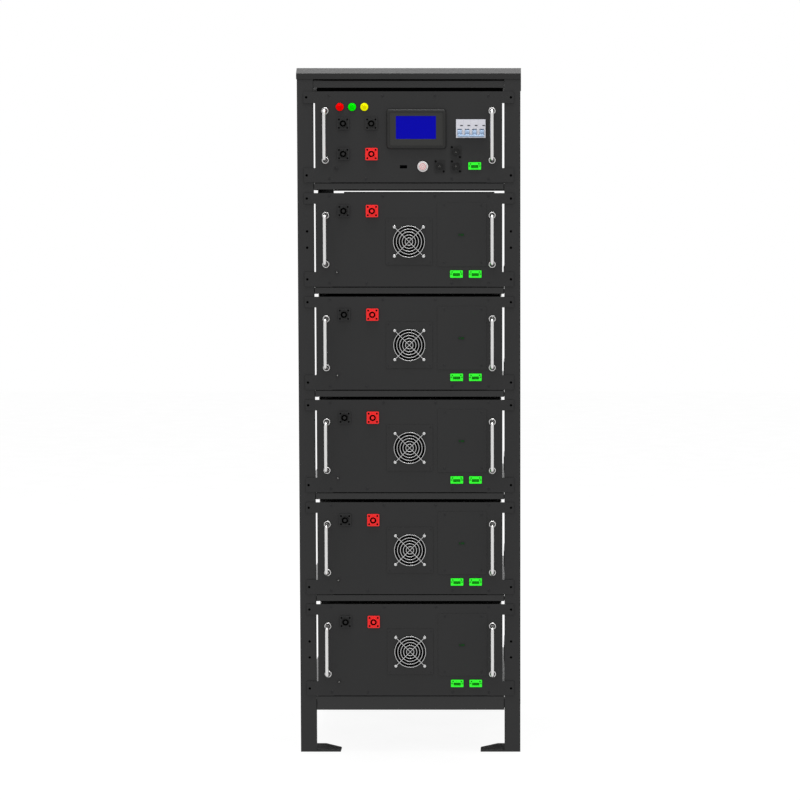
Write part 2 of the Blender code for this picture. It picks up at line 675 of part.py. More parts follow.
def build_control_box():
    top, bottom = CONTROL_TOP, CONTROL_TOP - CONTROL_HEIGHT
    openings = [circle(x, z, TERMINAL_HOLE, 10) for x, z in TERMINALS]
    openings += [circle(x, LAMP_Z, LAMP_STEM + 2 * GAP, 12) for x in LAMPS.values()]
    openings += [circle(x, z, ROUND_SOCKET_RADIUS, 16) for x, z in ROUND_SOCKETS]
    openings.append(circle(*BUTTON, BUTTON_STEM + 1 * MM, 12))
    openings.append(rectangle(*DISPLAY, DISPLAY_BODY[0] + 1 * MM, DISPLAY_BODY[1] + 1 * MM))
    openings.append(rectangle(*BREAKER, BREAKER_NOSE[0] + 0.8 * MM, BREAKER_NOSE[1] + 0.8 * MM))
    openings.append(rectangle(*CONTROL_SOCKET, *SOCKET_SIZE))
    openings.append(rectangle(*PORT, *PORT_SIZE))
    build_panel("control_front_panel", bottom, top, CONTROL_EARS, CONTROL_HOLES, openings)
    build_handles("control", CONTROL_HANDLE_Z)
    build_control_case(bottom, top)
    build_display(*DISPLAY)
    build_breaker(*BREAKER)
    face = PANEL_FACE - GAP
    for name, x in LAMPS.items():
        paint = name.replace("lamp_", "") + "_lens"
        build_stepped(name, paint, x, LAMP_Z, (LAMP_RADIUS, face - 5 * MM, face),
                      (LAMP_STEM, face - 2 * MM, 24 * MM))
    build_stepped("power_button", "white_plastic", *BUTTON,
                  (BUTTON_RADIUS, face - BUTTON_PROUD, face - BUTTON_PROUD + 3 * MM),
                  (BUTTON_STEM, face - BUTTON_PROUD + 1 * MM, 14 * MM))
    bm = bmesh.new()
    add_box(bm, (-150 * MM, 300 * MM, bottom + 20 * MM), (20 * MM, 420 * MM, bottom + 75 * MM))
    add_object("battery_manager", bm, "dark_steel")
    bm = bmesh.new()
    add_box(bm, (70 * MM, 320 * MM, bottom + 20 * MM), (140 * MM, 400 * MM, bottom + 105 * MM))
    add_object("main_contactor", bm, "black_plastic")


# ---------------------------------------------------------------- build

def clear_scene():
    for old in list(bpy.data.objects):
        bpy.data.objects.remove(old)


def main():
    clear_scene()
    build_rack()
    build_control_box()
    for number in range(1, MODULE_COUNT + 1):
        build_module(number)


main()
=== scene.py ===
"""Looks of a free-standing battery rack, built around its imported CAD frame.

Metres, +Z up, the front faces -Y. A new piece's points are (x, out, z) from its own origin, where
out runs towards the front, so that 0 is a panel's front face and negative values lie behind it.
"""

import math

import bmesh
import bpy
from mathutils import Matrix, Vector


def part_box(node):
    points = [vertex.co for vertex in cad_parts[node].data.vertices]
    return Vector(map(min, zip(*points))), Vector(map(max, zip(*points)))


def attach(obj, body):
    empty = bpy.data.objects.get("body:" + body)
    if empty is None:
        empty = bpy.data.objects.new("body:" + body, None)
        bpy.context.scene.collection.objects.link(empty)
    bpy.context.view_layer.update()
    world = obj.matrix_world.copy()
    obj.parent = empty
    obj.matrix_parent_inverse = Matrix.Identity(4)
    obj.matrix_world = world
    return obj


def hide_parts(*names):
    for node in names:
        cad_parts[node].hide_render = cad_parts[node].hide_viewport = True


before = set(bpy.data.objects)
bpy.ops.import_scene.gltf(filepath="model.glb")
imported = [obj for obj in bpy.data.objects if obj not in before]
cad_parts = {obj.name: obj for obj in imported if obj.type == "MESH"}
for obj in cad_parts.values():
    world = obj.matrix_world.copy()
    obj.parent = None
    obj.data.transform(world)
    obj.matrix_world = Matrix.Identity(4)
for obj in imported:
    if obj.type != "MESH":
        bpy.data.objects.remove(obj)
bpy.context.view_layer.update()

MM = 0.001
MODULES = range(1, 6)
SIDES = ("left", "right")
PANEL_SHEET = 2 * MM
SKIN = 0.05 * MM            # a part that is screwed on starts this far in front of its panel
SMOOTH_ANGLE = math.radians(38)

# Places on a battery module's front panel: x from the middle, z from the panel's upper edge, so a
# place on the panel has a negative z. A name that ends in BELOW is a distance down from that edge.
POLE_X = {"negative": -160 * MM, "positive": -90.5 * MM}
POLE_BELOW = 44 * MM
LINK_PORT_X = (116.3 * MM, 162.3 * MM)
LINK_PORT_BELOW = 198.3 * MM
FAN_PLATE = 114 * MM
FAN_PLATE_SCREW = 51 * MM
FAN_HALF = 40 * MM
FAN_DEPTH = 25 * MM
FAN_BLADES = 7
BLADE_SECTION = (           # along the chord, and the thickness above or below the camber line in mm
    (-0.5, 0), (-0.25, 0.5), (0, 0.65), (0.3, 0.5), (0.5, 0), (0.3, -0.3), (0, -0.35), (-0.25, -0.3))
GUARD_RADII = [r * MM for r in (38.3, 30.8, 23.6, 16.4, 9.2)]
GUARD_SCREW = 35.75 * MM
BOARD_COVER = (69 * MM, 190 * MM, -179.5 * MM, -23.5 * MM)    # x from, x to, z from, z to
BOARD_SCREWS = ((86 * MM, 177 * MM), (-30.5 * MM, -169.5 * MM))
STATUS_WINDOW = (128 * MM, -102 * MM)
EARTH_STUD = (-177 * MM, -194 * MM)
TOP_SCREWS = (-195 * MM, -64 * MM, 64 * MM, 195 * MM)
BOTTOM_SCREWS = (-195 * MM, -105 * MM, 105 * MM, 195 * MM)
EDGE_SCREWS = (7 * MM, 8.4 * MM)               # below the upper edge, above the lower edge
EAR_HOLES_BELOW = (13.5 * MM, 211.3 * MM)
SPARE_HOLES_BELOW = (93.8 * MM, 133.8 * MM)    # beside the first and the last module only
COVER_SCREWS_BELOW = 8 * MM                    # on the sides of every case, below its top
GRIP_BEND = 11 * MM
BARRIER_GAP = 1.4 * MM                         # from the cell pack to the middle of the board before it

# Places on the control box's front panel, measured the same way.
CONTROL_POLES = (
    ("charge_negative", "black", -160 * MM, -78.5 * MM),
    ("load_negative", "black", -91 * MM, -78.5 * MM),
    ("charge_positive", "black", -160 * MM, -152.5 * MM),
    ("load_positive", "red", -91 * MM, -152.5 * MM),
)
ROUND_PORTS = ((75.6 * MM, -182.5 * MM), (115.5 * MM, -182.5 * MM), (115.5 * MM, -147.8 * MM))
CONTROL_LINK_PORT = (161.4 * MM, -181.5 * MM)
DATA_PORT = (-13 * MM, -183.5 * MM)
CONTROL_EARTH = (-177.5 * MM, -187.5 * MM)
CONTROL_EDGE_SCREWS = (10.5 * MM, 8.5 * MM)
CONTROL_POST_HOLES_BELOW = (14.5 * MM, 204.5 * MM)
CABLE_ENTRY = (-140 * MM, 100 * MM, 60 * MM)    # x, width, height of the opening in the case's back
SCREEN = (97 * MM, 55 * MM)
SCREEN_SHIFT = (-1 * MM, 3.6 * MM)
BREAKER_POLE = 18 * MM

# The rack.
POST_HOLE_X = 250 * MM
POST_WIDTH = 39.4 * MM
FOOT_PLATE = 4 * MM
WELD_RADIUS = 1.6 * MM
WELD_STEPS = 22
SHELVES = range(1, 7)
SHELF_CHANNEL = 14.8 * MM        # height of a shelf frame's front channel
LOWEST_CHANNEL = 34 * MM         # the same on the lowest shelf frame
# The top seal is near-black and also paints the shade in the gap over the control box.
SEAL_ENDS = (-226 * MM, 228 * MM)
SEAL_BEHIND = 18 * MM            # the seal's front, behind the top frame's

# The studio. The camera stands in front of the posts and looks straight back, a little downwards.
LENS, SENSOR, LENS_SHIFT = 118, 36, -0.15175
CAMERA_X, CAMERA_DISTANCE, CAMERA_HEIGHT = 0.2757, 6.4445, 1.3699
CAMERA_TILT = math.radians(85.639)
LIGHT_SIZE, LIGHT_POWER, LIGHT_PLACE = 3.0, 260, (0, 0.3, 4.2)
FLOOR_HALF, FLOOR_GAP, FLOOR_GLOW = 12, 0.2 * MM, 15.5


def mm(*points):
    """Points given in millimetres."""
    return [tuple(value * MM for value in point) for point in points]


def middle_of(node, face):
    """The middle of a CAD node's box, seen from the front, at the depth of a panel's face."""
    low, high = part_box(node)
    return Vector(((low.x + high.x) / 2, face, (low.z + high.z) / 2))


def on_panel(corner, at):
    """A front panel's (x, z) place in the shared frame; corner is the middle of its upper edge."""
    return corner + Vector((at[0], 0, at[1]))


# ---------------------------------------------------------------- materials

def principled(name):
    made = bpy.data.materials.new(name)
    made.use_nodes = True
    return made, made.node_tree.nodes, made.node_tree.links, made.node_tree.nodes["Principled BSDF"]


def noise(nodes, links, source, scale, detail=2.0, rough=0.5):
    made = nodes.new("ShaderNodeTexNoise")
    made.inputs["Scale"].default_value = scale
    made.inputs["Detail"].default_value = detail
    made.inputs["Roughness"].default_value = rough
    links.new(source, made.inputs["Vector"])
    return made.outputs["Fac"]


def spread(nodes, links, source, low, high):
    """Maps a texture's middle range to low..high."""
    made = nodes.new("ShaderNodeMapRange")
    made.inputs["From Min"].default_value = 0.25
    made.inputs["From Max"].default_value = 0.75
    made.inputs["To Min"].default_value = low
    made.inputs["To Max"].default_value = high
    links.new(source, made.inputs["Value"])
    return made.outputs["Result"]


def tinted(nodes, links, shader, colour, first, second):
    """Gives the shader a colour times two drifting factors, and returns that colour's output."""
    both = nodes.new("ShaderNodeMath")
    both.operation = "MULTIPLY"
    links.new(first, both.inputs[0])
    links.new(second, both.inputs[1])
    scaled = nodes.new("ShaderNodeVectorMath")
    scaled.operation = "SCALE"
    scaled.inputs[0].default_value = colour
    links.new(both.outputs["Value"], scaled.inputs["Scale"])
    links.new(scaled.outputs["Vector"], shader.inputs["Base Color"])
    return scaled.outputs["Vector"]


def embossed(nodes, links, shader, height, strength, distance):
    relief = nodes.new("ShaderNodeBump")
    relief.inputs["Strength"].default_value = strength
    relief.inputs["Distance"].default_value = distance
    links.new(height, relief.inputs["Height"])
    links.new(relief.outputs["Normal"], shader.inputs["Normal"])


def finish(name, colour, roughness, metallic=0.0, specular=0.5, tint=0.06, broad=7.0,
           grain=2200.0, bump=0.12, stretch=(1, 1, 1), glow=0.0):
    """A surface whose colour drifts by tint over broad patches; its grain is in bump and roughness."""
    made, nodes, links, shader = principled(name)
    place = nodes.new("ShaderNodeTexCoord").outputs["Object"]
    mapping = nodes.new("ShaderNodeMapping")
    mapping.inputs["Scale"].default_value = stretch
    links.new(place, mapping.inputs["Vector"])
    placed = mapping.outputs["Vector"]

    drift = spread(nodes, links, noise(nodes, links, placed, broad, 3.0), 1 - tint, 1 + tint)
    mottle = spread(nodes, links, noise(nodes, links, placed, grain / 4, 2.0), 1 - tint / 2, 1 + tint / 2)
    varied = tinted(nodes, links, shader, colour, drift, mottle)
    fine = noise(nodes, links, placed, grain, 3.0, 0.6)
    worn = spread(nodes, links, fine, roughness * 0.88, min(roughness * 1.12, 1.0))
    links.new(worn, shader.inputs["Roughness"])
    embossed(nodes, links, shader, fine, bump, 0.15 * MM)
    shader.inputs["Metallic"].default_value = metallic
    shader.inputs["Specular IOR Level"].default_value = specular
    if glow:
        links.new(varied, shader.inputs["Emission Color"])
        shader.inputs["Emission Strength"].default_value = glow
    return made


def powder_coat(name, colour, specular, roughness=0.56):
    """Textured powder coat: orange peel about 1.5 mm across under a fine sand grain, a little dusty."""
    made, nodes, links, shader = principled(name)
    place = nodes.new("ShaderNodeTexCoord").outputs["Object"]
    peel = noise(nodes, links, place, 640.0, 2.0)
    sand = noise(nodes, links, place, 3400.0, 3.0, 0.65)
    dust = noise(nodes, links, place, 5.0, 4.0, 0.6)

    speckle = spread(nodes, links, sand, 0.9, 1.1)
    patches = spread(nodes, links, dust, 0.97, 1.03)
    tinted(nodes, links, shader, colour, speckle, patches)
    links.new(spread(nodes, links, peel, roughness * 0.9, roughness * 1.1), shader.inputs["Roughness"])

    mix = nodes.new("ShaderNodeMath")
    mix.operation = "MULTIPLY_ADD"
    mix.inputs[1].default_value = 0.45
    links.new(sand, mix.inputs[0])
    links.new(peel, mix.inputs[2])
    embossed(nodes, links, shader, mix.outputs["Value"], 0.16, 0.25 * MM)
    shader.inputs["Specular IOR Level"].default_value = specular
    return made


def screen_glass(name, colour, glow):
    """A backlit panel: a fine grid of dots under matt glass."""
    made, nodes, links, shader = principled(name)
    place = nodes.new("ShaderNodeTexCoord").outputs["Object"]
    grid = nodes.new("ShaderNodeTexBrick")
    grid.offset = 0.0
    grid.squash = 1.0
    grid.inputs["Scale"].default_value = 1.0
    grid.inputs["Brick Width"].default_value = 0.5 * MM
    grid.inputs["Row Height"].default_value = 0.5 * MM
    grid.inputs["Mortar Size"].default_value = 0.03 * MM
    grid.inputs["Color1"].default_value = (*colour, 1)
    grid.inputs["Color2"].default_value = (*(c * 0.96 for c in colour), 1)
    grid.inputs["Mortar"].default_value = (*(c * 0.7 for c in colour), 1)
    turned = nodes.new("ShaderNodeMapping")
    turned.inputs["Rotation"].default_value = (math.pi / 2, 0, 0)
    links.new(place, turned.inputs["Vector"])
    links.new(turned.outputs["Vector"], grid.inputs["Vector"])
    links.new(grid.outputs["Color"], shader.inputs["Base Color"])
    links.new(grid.outputs["Color"], shader.inputs["Emission Color"])
    shader.inputs["Emission Strength"].default_value = glow
    shader.inputs["Specular IOR Level"].default_value = 0.05
    haze = noise(nodes, links, place, 30.0)
    links.new(spread(nodes, links, haze, 0.45, 0.55), shader.inputs["Roughness"])
    return made


PAINT = {
    "rack": powder_coat("rack_powder_coat", (0.0292, 0.0292, 0.0294), 0.08),
    "shelf": powder_coat("shelf_powder_coat", (0.0205, 0.0205, 0.0206), 0.25, 0.26),
    "lid": powder_coat("lid_powder_coat", (0.022, 0.022, 0.0221), 0.115),
    "module": powder_coat("module_powder_coat", (0.0278, 0.0278, 0.028), 0.08),
    "steel": finish("brushed_handle_steel", (0.66, 0.655, 0.65), 0.3, 1.0, tint=0.04, grain=900.0,
                    bump=0.1, stretch=(1, 1, 0.04)),
    "wire": finish("fan_guard_wire", (0.58, 0.58, 0.58), 0.2, 1.0, tint=0.03, grain=1500.0, bump=0.05),
    "nickel": finish("nickel_fastener", (0.6, 0.59, 0.57), 0.3, 1.0, tint=0.06, grain=1500.0),
    "dull_nickel": finish("aged_nickel_fastener", (0.2, 0.197, 0.19), 0.4, 1.0, tint=0.06, grain=1500.0),
    "black_oxide": finish("black_oxide_fastener", (0.022, 0.022, 0.023), 0.42, 0.6, 0.3, grain=2500.0),
    "black": finish("black_moulding", (0.008, 0.008, 0.008), 0.5, specular=0.12, grain=2600.0, bump=0.15),
    "grey_black": finish("charcoal_moulding", (0.02, 0.02, 0.02), 0.5, specular=0.1, grain=2600.0,
                         bump=0.15),
    "barrel": finish("pole_barrel_moulding", (0.012, 0.012, 0.012), 0.45, specular=0.2, grain=2600.0,
                     bump=0.1),
    # Near-black for holes, grooves, seams and gaps, where it is painted shade; a few black screws use it
    # too.
    "black_and_shade": finish("black_and_painted_shade", (0.002, 0.002, 0.002), 0.8, specular=0.02, grain=1200.0),
    # Near-black gasket rings round the display, lamps and button; they paint the shadow gaps round those
    # parts.
    "gasket_and_shade": finish("rubber_gasket_and_shade", (0.004, 0.004, 0.004), 0.7, specular=0.1, grain=1800.0),
    "bezel": finish("display_moulding", (0.0165, 0.0165, 0.016), 0.48, specular=0.2, grain=2600.0, bump=0.2),
    "bezel_inner": finish("display_inner_frame", (0.025, 0.025, 0.0235), 0.42, specular=0.2, grain=2600.0),
    "screen": screen_glass("display_screen", (0.0006, 0.0004, 0.285), 0.35),
    "fan": finish("fan_moulding", (0.003, 0.003, 0.003), 0.42, specular=0.12, grain=2000.0, bump=0.1),
    "red": finish("red_pole_moulding", (0.8, 0.022, 0.022), 0.42, specular=0.15, grain=2400.0),
    "green": finish("green_plug_moulding", (0.034, 0.95, 0.03), 0.42, specular=0.15, grain=2400.0),
    "green_shade": finish("green_plug_inside", (0.012, 0.34, 0.014), 0.5, specular=0.1, grain=2400.0),
    "green_window": finish("status_window_lens", (0.006, 0.04, 0.008), 0.35, specular=0.08, grain=900.0,
                           bump=0.03),
    "breaker_white": finish("breaker_white", (0.55, 0.55, 0.6), 0.4, specular=0.3, grain=2000.0),
    "breaker_blue": finish("breaker_blue", (0.28, 0.385, 0.54), 0.38, specular=0.3, grain=2000.0),
    "breaker_mark": finish("breaker_indicator", (0.03, 0.03, 0.04), 0.4, specular=0.2, grain=2000.0),
    "breaker_shade": finish("breaker_pole_joint", (0.4, 0.4, 0.46), 0.4, specular=0.2, grain=2000.0),
    "button": finish("button_white", (0.69, 0.66, 0.66), 0.35, specular=0.3, grain=2000.0, bump=0.05),
    "button_ring": finish("button_light_ring", (0.5, 0.1, 0.1), 0.35, specular=0.2, grain=1500.0, glow=0.05),
    "cells": finish("cell_wrap", (0.02, 0.1, 0.34), 0.34, specular=0.5, grain=1200.0, bump=0.05, broad=16.0),
    "board": finish("electronics_case", (0.03, 0.032, 0.035), 0.5, 0.3, grain=2200.0),
}

LAMPS = {                   # the lens and its darker core
    "red": ((0.72, 0.0, 0.0), (0.56, 0.0, 0.0)),
    "green": ((0.0, 0.71, 0.0), (0.0, 0.56, 0.0)),
    "yellow": ((0.72, 0.72, 0.0), (0.6, 0.52, 0.0)),
}
for lamp_name, (lens_colour, core_colour) in LAMPS.items():
    PAINT["lens_" + lamp_name] = finish(lamp_name + "_lens", lens_colour, 0.35, specular=0.02, tint=0.03,
                                        grain=900.0, bump=0.04, glow=0.12)
    PAINT["core_" + lamp_name] = finish(lamp_name + "_lens_core", core_colour, 0.4, specular=0.02,
                                        grain=900.0, bump=0.04, glow=0.1)


# ---------------------------------------------------------------- shapes

def circle(radius, count, x=0.0, z=0.0):
    angles = (2 * math.pi * i / count for i in range(count))
    return [(x + radius * math.cos(a), z + radius * math.sin(a)) for a in angles]


def boxed(half_width, half_height, count, x=0.0, z=0.0):
    """Points on a rectangle at equal angles round its middle, to pair with a circle."""
    points = []
    for i in range(count):
        angle = 2 * math.pi * i / count
        cos, sin = math.cos(angle), math.sin(angle)
        reach = min(half_width / max(abs(cos), 1e-9), half_height / max(abs(sin), 1e-9))
        points.append((x + reach * cos, z + reach * sin))
    return points


def rounded(width, height, radius, x=0.0, z=0.0, steps=5):
    """A rectangle with rounded corners, the same number of points whatever its size."""
    points = []
    for quarter, (sx, sz) in enumerate(((1, 1), (-1, 1), (-1, -1), (1, -1))):
        cx, cz = x + sx * (width / 2 - radius), z + sz * (height / 2 - radius)
        for i in range(steps + 1):
            angle = math.pi / 2 * (quarter + i / steps)
            points.append((cx + radius * math.cos(angle), cz + radius * math.sin(angle)))
    return points


class Shape:
    """Collects closed solids, each in one of the piece's finishes."""

    def __init__(self):
        self.bm = bmesh.new()
        self.paints = []
        self.matrix = Matrix.Identity(4)

    def loft(self, loops, paint, closed=False):
        """Skins closed loops of (x, out, z) points; the ends are capped unless the loft closes on itself."""
        if paint not in self.paints:
            self.paints.append(paint)
        index = self.paints.index(paint)
        rings = [[self.bm.verts.new(self.matrix @ Vector((x, -out, z))) for x, out, z in loop]
                 for loop in loops]
        pairs = list(zip(rings, rings[1:]))
        if closed:
            pairs.append((rings[-1], rings[0]))
        faces = []
        for first, second in pairs:
            for i in range(len(first)):
                j = (i + 1) % len(first)
                faces.append(self.bm.faces.new((first[i], first[j], second[j], second[i])))
        if not closed:
            faces += [self.bm.faces.new(rings[0]), self.bm.faces.new(rings[-1])]
        for face in faces:
            face.material_index = index
            face.smooth = True

    def prism(self, outline, back, front, paint):
        self.loft([[(x, out, z) for x, z in outline] for out in (back, front)], paint)

    def box(self, low, high, paint):
        """A box between two (x, out, z) corners."""
        outline = [(low[0], low[2]), (high[0], low[2]), (high[0], high[2]), (low[0], high[2])]
        self.prism(outline, low[1], high[1], paint)

    def stack(self, outlines, paint, closed=False):
        """Skins (outline, out) pairs, from back to front."""
        self.loft([[(x, out, z) for x, z in outline] for outline, out in outlines], paint, closed)

    def border(self, outer, inner, back, front, paint):
        """A flat frame between two outlines with the same number of points."""
        self.stack([(outer, back), (outer, front), (inner, front), (inner, back)], paint, closed=True)

    def lathe(self, profile, paint, x=0.0, z=0.0, count=32, closed=False):
        """Turns (radius, out) points about the out axis; closed makes a ring from a closed section."""
        self.stack([(circle(radius, count, x, z), out) for radius, out in profile], paint, closed)

    def tube(self, path, radii, paint, across, count=12, closed=False):
        """Sweeps a circle along (x, out, z) points that lie in the plane square to across."""
        points = [Vector(p) for p in path]
        if not hasattr(radii, "__len__"):
            radii = [radii] * len(points)
        across = Vector(across).normalized()
        loops = []
        last = len(points) - 1
        for i, point in enumerate(points):
            before = points[i - 1] if i or closed else point
            after = points[(i + 1) % len(points)] if i < last or closed else point
            along = (after - before).normalized()
            aside = along.cross(across).normalized()
            loops.append([point + radii[i] * (across * math.cos(a) + aside * math.sin(a))
                          for a in (2 * math.pi * k / count for k in range(count))])
        self.loft(loops, paint, closed)

    def screw(self, x, z, radius, height, paint, out=0.0, socket=0.45):
        """A low button head with a hexagon socket."""
        chamfer = min(height * 0.45, radius * 0.3)
        base = [(radius, out), (radius, out + height - chamfer), (radius - chamfer, out + height)]
        floor = out + height * 0.3
        self.stack([(circle(r, 18, x, z), o) for r, o in base]
                   + [(circle(radius * socket, 18, x, z), out + height),
                      (circle(radius * socket * 0.92, 18, x, z), floor)], paint)

    def screws(self, xs, zs, radius, height, paint, out):
        """A screw at every crossing of some x and z places."""
        for x in xs:
            for z in zs:
                self.screw(x, z, radius, height, paint, out)

    def mesh(self, name):
        bmesh.ops.recalc_face_normals(self.bm, faces=self.bm.faces)
        mesh = bpy.data.meshes.new(name)
        self.bm.to_mesh(mesh)
        self.bm.free()
        for paint in self.paints:
            mesh.materials.append(PAINT[paint])
        mesh.set_sharp_from_angle(angle=SMOOTH_ANGLE)
        return mesh


def place(name, mesh, body, origin, slot, replaces=(), bevel=0.0):
    """Puts a mesh into the frame as a piece that rides on a body."""
    piece = bpy.data.objects.new(name, mesh)
    piece.location = origin
    bpy.context.scene.collection.objects.link(piece)
    if bevel:
        edge = piece.modifiers.new("edges", "BEVEL")
        edge.width = bevel
        edge.segments = 2
        edge.limit_method = "ANGLE"
        edge.angle_limit = math.radians(50)
    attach(piece, body)
    if replaces:
        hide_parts(*replaces)


# ---------------------------------------------------------------- the CAD nodes' own surfaces

def dress(node, paint, edge=0.35 * MM):
    """Gives a CAD node its finish and soft folded edges."""
    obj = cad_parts[node]
    for slot in obj.material_slots:
        slot.material = PAINT[paint]
    if edge:
        weld = obj.modifiers.new("weld", "WELD")
        weld.merge_threshold = 0.01 * MM
        flat = obj.modifiers.new("flat", "DECIMATE")
        flat.decimate_type = "DISSOLVE"
        flat.angle_limit = math.radians(0.5)
        bevel = obj.modifiers.new("edges", "BEVEL")
        bevel.width = edge
        bevel.segments = 2
        bevel.limit_method = "ANGLE"
        bevel.angle_limit = math.radians(40)
        bevel.harden_normals = True


def dress_cad():
    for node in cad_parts:
        if node == "rack_top_cover":
            dress(node, "lid", 0.6 * MM)
        elif node.startswith("shelf_"):
            dress(node, "shelf")
        elif node.startswith("rack_"):
            dress(node, "rack")
        elif node.endswith("_cell_pack"):
            dress(node, "cells", 0.8 * MM)
        elif node.endswith("_front_panel"):
            dress(node, "module", 0.0)
        elif node.startswith("module_") or node == "control_case":
            dress(node, "module")
    dress("main_breaker", "breaker_white", 0.5 * MM)
    dress("breaker_toggle", "breaker_blue", 0.5 * MM)
    dress("battery_manager", "board", 1 * MM)
    dress("main_contactor", "black", 1 * MM)


# ---------------------------------------------------------------- pieces that several boxes share

def grip_mesh(standoff, half, radius, bend):
    """A bent round bar whose ends neck down into their ferrules."""
    neck = 3.3 * MM
    corner = [(standoff - bend + bend * math.sin(a), half - bend + bend * math.cos(a))
              for a in (math.pi / 2 * i / 9 for i in range(10))]
    upper = [(0.3 * MM, half, neck), (5.4 * MM, half, neck), (6.2 * MM, half, radius)]
    upper += [(out, z, radius) for out, z in corner]
    path = upper + [(out, -z, r) for out, z, r in reversed(upper)]
    shape = Shape()
    shape.tube([(0, out, z) for out, z, r in path], [r for out, z, r in path], "steel", (1, 0, 0), 24)
    return shape.mesh("grip")


def ferrule_mesh(half):
    """The two turned rings that the bar's ends stand in, each with a near-black sleeve inside, painted shade
    in its hollow.
    """
    shape = Shape()
    for z in (half, -half):
        shape.lathe(mm((8.6, 0.1), (8.6, 3.8), (7.9, 4.6), (6.6, 4.6), (6.2, 4.2), (6.2, 0.1)), "steel",
                    0, z, 36, closed=True)
        shape.lathe(mm((6.1, 0.1), (6.1, 3.6), (3.6, 3.6), (3.6, 0.1)), "black_and_shade", 0, z, 36, closed=True)
    return shape.mesh("ferrules")


def pole_mesh(flange, barrel, core):
    """A round high-current receptacle on a square flange."""
    shape = Shape()
    square = rounded(30 * MM, 30 * MM, 2.5 * MM, steps=11)
    shape.border(square, circle(9.2 * MM, 48), SKIN, 3 * MM, flange)
    shape.lathe(mm((9.15, -7), (9.15, 9.2), (8.8, 9.8), (8.2, 9.8), (7.9, 9.3), (7.9, -7)), barrel,
                count=48, closed=True)
    # The near-black ring between the barrel and the core is painted shade in the groove.
    shape.lathe(mm((7.85, -7), (7.85, 8.6), (6.6, 8.6), (6.6, -5)), "black_and_shade", count=48)
    shape.lathe(mm((4.2, -4.95), (4.2, 7.6), (3.7, 8.2), (1.6, 8.4)), core, count=32)
    shape.lathe(mm((8.95, -16), (8.95, -7.05)), "black", count=32)
    corners = (-10.2 * MM, 10.2 * MM)
    shape.screws(corners, corners, 2.3 * MM, 0.5 * MM, "black_and_shade", 3.02 * MM)
    return shape.mesh("pole")


def handle_meshes(node, face):
    """The grip and the ferrules of a pull handle, measured on its CAD node."""
    low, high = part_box(node)
    radius = (high.x - low.x) / 2
    half = (high.z - low.z) / 2 - radius
    return grip_mesh(face - low.y - radius, half, radius, GRIP_BEND), ferrule_mesh(half)


def place_handles(body, prefix, face, grip, ferrules):
    """Puts both handles on a body's front panel; prefix starts the names of their pieces."""
    for side in SIDES:
        node = f"{prefix}_handle_{side}"
        middle = middle_of(node, face)
        place(f"{prefix}_grip_{side}", grip, body, middle, "handle_metal", [node])
        place(f"{prefix}_ferrules_{side}", ferrules, body, middle, "handle_metal")


def link_port_mesh():
    """A flanged four-pin socket."""
    shape = Shape()
    inner = rounded(17.6 * MM, 7 * MM, 0.6 * MM, 0, -1.3 * MM)
    shape.border(rounded(31 * MM, 18 * MM, 1.4 * MM), rounded(20.4 * MM, 9.2 * MM, 0.8 * MM, 0, -0.2 * MM),
                 SKIN, 2.4 * MM, "green")
    shape.border(rounded(20.3 * MM, 9.1 * MM, 0.8 * MM, 0, -0.2 * MM), inner, -10 * MM, 4.2 * MM, "green")
    shape.box((-9.9 * MM, -12 * MM, -4.6 * MM), (9.9 * MM, -10.05 * MM, 4.2 * MM), "green_shade")
    shape.box((-8.6 * MM, -3 * MM, -4.6 * MM), (8.6 * MM, -2 * MM, 2.0 * MM), "green_shade")
    for i in range(4):
        x = (i - 1.5) * 3.8 * MM
        shape.box((x - 0.6 * MM, -1.95 * MM, -1.9 * MM), (x + 0.6 * MM, 2.6 * MM, -0.7 * MM), "green_shade")
    for side in (-1, 1):
        shape.screw(side * 12.9 * MM, 0, 1.7 * MM, 0.9 * MM, "green_shade", 2.42 * MM)
        shape.box((side * 10.4 * MM - 1.6 * MM, 2.42 * MM, 3.9 * MM),
                  (side * 10.4 * MM + 1.6 * MM, 2.9 * MM, 6.1 * MM), "black_and_shade")
    return shape.mesh("link_port")


def panel_screws_mesh(height, below, above):
    """Flush black screws along a panel's upper and lower edges."""
    shape = Shape()
    for x in TOP_SCREWS:
        shape.screw(x, -below, 3.0 * MM, 0.7 * MM, "black_oxide", SKIN)
    for x in BOTTOM_SCREWS:
        shape.screw(x, above - height, 3.0 * MM, 0.7 * MM, "black_oxide", SKIN)
    return shape.mesh("panel_screws")


def case_screws_mesh(half, length, below, back_height):
    """Screws along the cover's side flanges and on the rear wall; y runs back from the case's front."""
    shape = Shape()
    for side in (-1, 1):
        turned = Matrix.Rotation(math.radians(90 * side), 4, "Z")
        for i in range(6):
            y = 45 * MM + i * (length - 90 * MM) / 5
            shape.matrix = Matrix.Translation((side * half, y, -below)) @ turned
            shape.screw(0, 0, 3.0 * MM, 1.6 * MM, "nickel", SKIN)
    facing_back = Matrix.Rotation(math.pi, 4, "Z")
    for x in (-0.9, -0.3, 0.3, 0.9):
        for z in (-10 * MM - below, 12 * MM - back_height):
            shape.matrix = Matrix.Translation((x * half, length, z)) @ facing_back
            shape.screw(0, 0, 3.0 * MM, 1.6 * MM, "nickel", SKIN)
    return shape.mesh("case_screws")


# ---------------------------------------------------------------- fan

